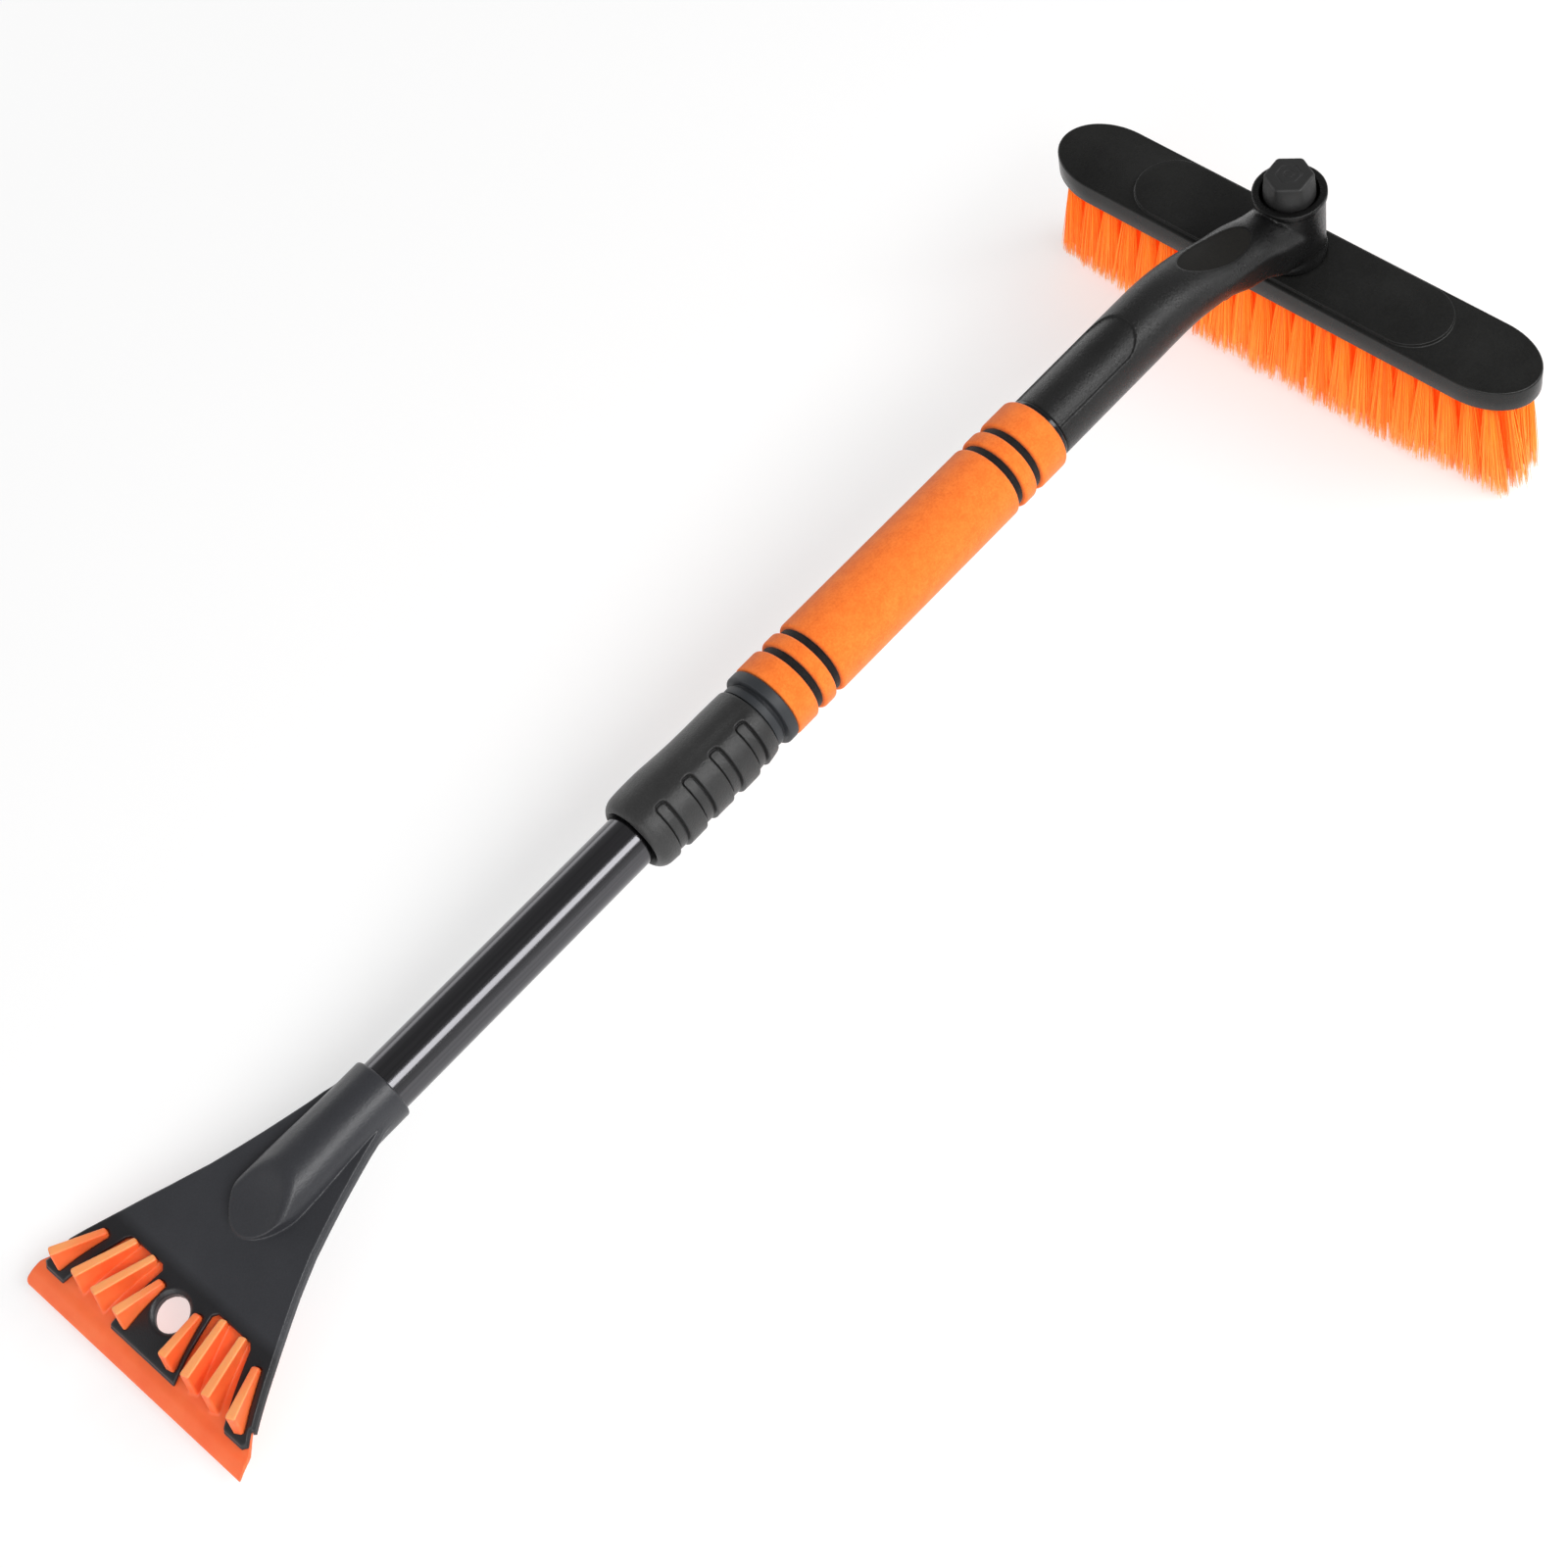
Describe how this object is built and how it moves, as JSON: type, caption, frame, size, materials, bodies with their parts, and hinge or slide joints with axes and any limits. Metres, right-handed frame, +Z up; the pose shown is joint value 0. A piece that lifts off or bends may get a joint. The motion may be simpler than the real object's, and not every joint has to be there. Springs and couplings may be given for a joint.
{
  "type": "snow brush with ice scraper",
  "caption": "Telescopic snow brush: fan-shaped ice scraper, twist-lock tube, foam grip, and a quick-release arm whose bristle head turns on a push-button pivot.",
  "frame": {"origin": "centre of the bounding box on the floor that the blade edge and the bristle tips stand on, with the handle fully extended", "axes": "+X from the scraper towards the brush head, +Y along the brush head, +Z up, away from the bristle tips"},
  "size_m": [0.7818, 0.282, 0.1273],
  "materials": {
    "scraper_plastic": "fine-grained dark grey moulding",
    "blade_plastic": "semi-gloss, slightly translucent orange",
    "tube_anodised": "glossy black anodised",
    "nylon_white": "natural moulded nylon",
    "grip_rubber": "soft-touch black",
    "foam_orange": "matte closed-cell foam",
    "foam_black": "matte closed-cell foam",
    "coupling_plastic": "gloss",
    "spring_steel": "bright zinc",
    "arm_plastic": "satin, leather-like grain",
    "button_plastic": "satin",
    "bristle_orange": "flagged synthetic bristle"
  },
  "bodies": {
    "handle": {"outer_tube": "tube_anodised", "lock_ferrule": "scraper_plastic", "lock_collet": "nylon_white", "foam_end_ring_lower": "foam_orange", "foam_groove_ring_1": "foam_black", "foam_band_lower": "foam_orange", "foam_groove_ring_2": "foam_black", "foam_sleeve": "foam_orange", "foam_groove_ring_3": "foam_black", "foam_band_upper": "foam_orange", "foam_groove_ring_4": "foam_black", "foam_end_ring_upper": "foam_orange", "coupling_insert": "coupling_plastic", "latch_spring": "spring_steel"},
    "inner_shaft": {"inner_tube": "tube_anodised", "inner_tube_plug": "nylon_white", "scraper_body": "scraper_plastic", "scraper_blade": "blade_plastic"},
    "collar": {"lock_collar": "grip_rubber"},
    "latch": {"latch_button": "coupling_plastic"},
    "brush_arm": {"pivot_arm": "arm_plastic", "pivot_spring": "spring_steel"},
    "button": {"pivot_button": "button_plastic", "lock_gear": "nylon_white"},
    "brush_head": {"brush_plate": "arm_plastic", "pivot_screw": "spring_steel", "pivot_washer": "spring_steel", "bristle_row_1": "bristle_orange", "bristle_row_2": "bristle_orange", "bristle_row_3": "bristle_orange", "bristle_row_4": "bristle_orange"}
  },
  "joints": [
    {"name": "telescope", "type": "slide", "parent": "handle", "child": "inner_shaft", "axis": [0.991, 0, 0.1341], "range_m": [0, 0.146]},
    {"name": "lock_twist", "type": "hinge", "parent": "handle", "child": "collar", "pos_m": [-0.06152, 0, 0.06717], "axis": [0.991, 0, 0.1341], "range_deg": [0, 90]},
    {"name": "latch_press", "type": "slide", "parent": "handle", "child": "latch", "axis": [-0.1341, 0, 0.991], "range_m": [0, 0.0046], "stiffness_N_per_m": 1200, "springref_m": -0.001, "deforming": ["latch_spring"]},
    {"name": "brush_release", "type": "slide", "parent": "handle", "child": "brush_arm", "axis": [0.991, 0, 0.1341], "range_m": [0, 0.062], "deforming": ["latch_button"]},
    {"name": "button_press", "type": "slide", "parent": "brush_arm", "child": "button", "axis": [0.1341, 0, -0.991], "range_m": [0, 0.003], "stiffness_N_per_m": 2000, "springref_m": -0.002, "deforming": ["pivot_spring"]},
    {"name": "head_pivot", "type": "hinge", "parent": "brush_arm", "child": "brush_head", "pos_m": [0.35826, 0, 0.07252], "axis": [-0.1341, 0, 0.991], "continuous": true}
  ]
}
